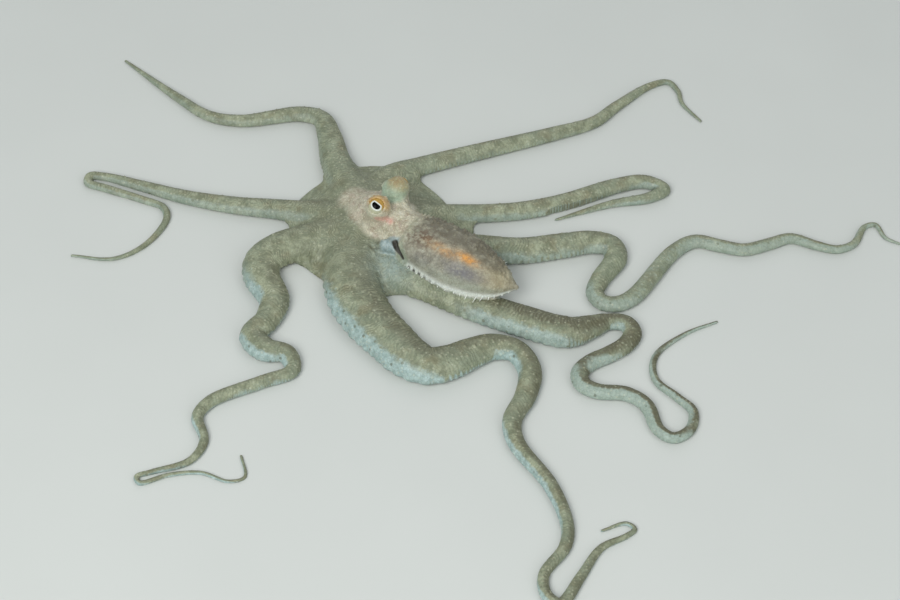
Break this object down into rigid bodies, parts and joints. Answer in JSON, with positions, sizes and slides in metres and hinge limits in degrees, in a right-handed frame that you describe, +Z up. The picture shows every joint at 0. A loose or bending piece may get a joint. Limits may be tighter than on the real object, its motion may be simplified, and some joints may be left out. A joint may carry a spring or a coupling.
{
  "type": "octopus",
  "caption": "Small long-armed octopus at rest, head raised on its arm crown and thin arms spread in loose curves over flat ground.",
  "frame": {"origin": "on the ground, under the middle of the arm crown", "axes": "+Z up from the ground; +X along the longest spread of the arms; the head faces between -X and +Y, and the mantle trails the other way"},
  "size_m": [0.2585, 0.2221, 0.0197],
  "materials": {
    "arm_skin": "satin",
    "head_skin": "satin",
    "mantle_skin": "satin",
    "funnel_skin": "satin",
    "eye": "gloss"
  },
  "bodies": {
    "root": {"arm_crown": "arm_skin", "head": "head_skin", "mantle": "mantle_skin", "funnel": "funnel_skin", "eye_left": "eye", "eye_right": "eye", "arm_right_1_length_1": "arm_skin", "arm_right_1_length_2": "arm_skin", "arm_right_1_length_3": "arm_skin", "arm_right_1_length_4": "arm_skin", "arm_right_2_length_1": "arm_skin", "arm_right_2_length_2": "arm_skin", "arm_right_2_length_3": "arm_skin", "arm_right_2_length_4": "arm_skin", "arm_right_3_length_1": "arm_skin", "arm_right_3_length_2": "arm_skin", "arm_right_3_length_3": "arm_skin", "arm_right_3_length_4": "arm_skin", "arm_right_4_length_1": "arm_skin", "arm_right_4_length_2": "arm_skin", "arm_right_4_length_3": "arm_skin", "arm_right_4_length_4": "arm_skin", "arm_right_4_length_5": "arm_skin", "arm_right_4_length_6": "arm_skin", "arm_right_4_length_7": "arm_skin", "arm_right_4_length_8": "arm_skin", "arm_left_4_length_1": "arm_skin", "arm_left_4_length_2": "arm_skin", "arm_left_4_length_3": "arm_skin", "arm_left_4_length_4": "arm_skin", "arm_left_4_length_5": "arm_skin", "arm_left_4_length_6": "arm_skin", "arm_left_4_length_7": "arm_skin", "arm_left_4_length_8": "arm_skin", "arm_left_4_length_9": "arm_skin", "arm_left_3_length_1": "arm_skin", "arm_left_3_length_2": "arm_skin", "arm_left_3_length_3": "arm_skin", "arm_left_3_length_4": "arm_skin", "arm_left_3_length_5": "arm_skin", "arm_left_3_length_6": "arm_skin", "arm_left_3_length_7": "arm_skin", "arm_left_3_length_8": "arm_skin", "arm_left_3_length_9": "arm_skin", "arm_left_2_length_1": "arm_skin", "arm_left_2_length_2": "arm_skin", "arm_left_2_length_3": "arm_skin", "arm_left_2_length_4": "arm_skin", "arm_left_2_length_5": "arm_skin", "arm_left_2_length_6": "arm_skin", "arm_left_2_length_7": "arm_skin", "arm_left_2_length_8": "arm_skin", "arm_left_2_length_9": "arm_skin", "arm_left_1_length_1": "arm_skin", "arm_left_1_length_2": "arm_skin", "arm_left_1_length_3": "arm_skin", "arm_left_1_length_4": "arm_skin", "arm_left_1_length_5": "arm_skin"}
  },
  "joints": []
}
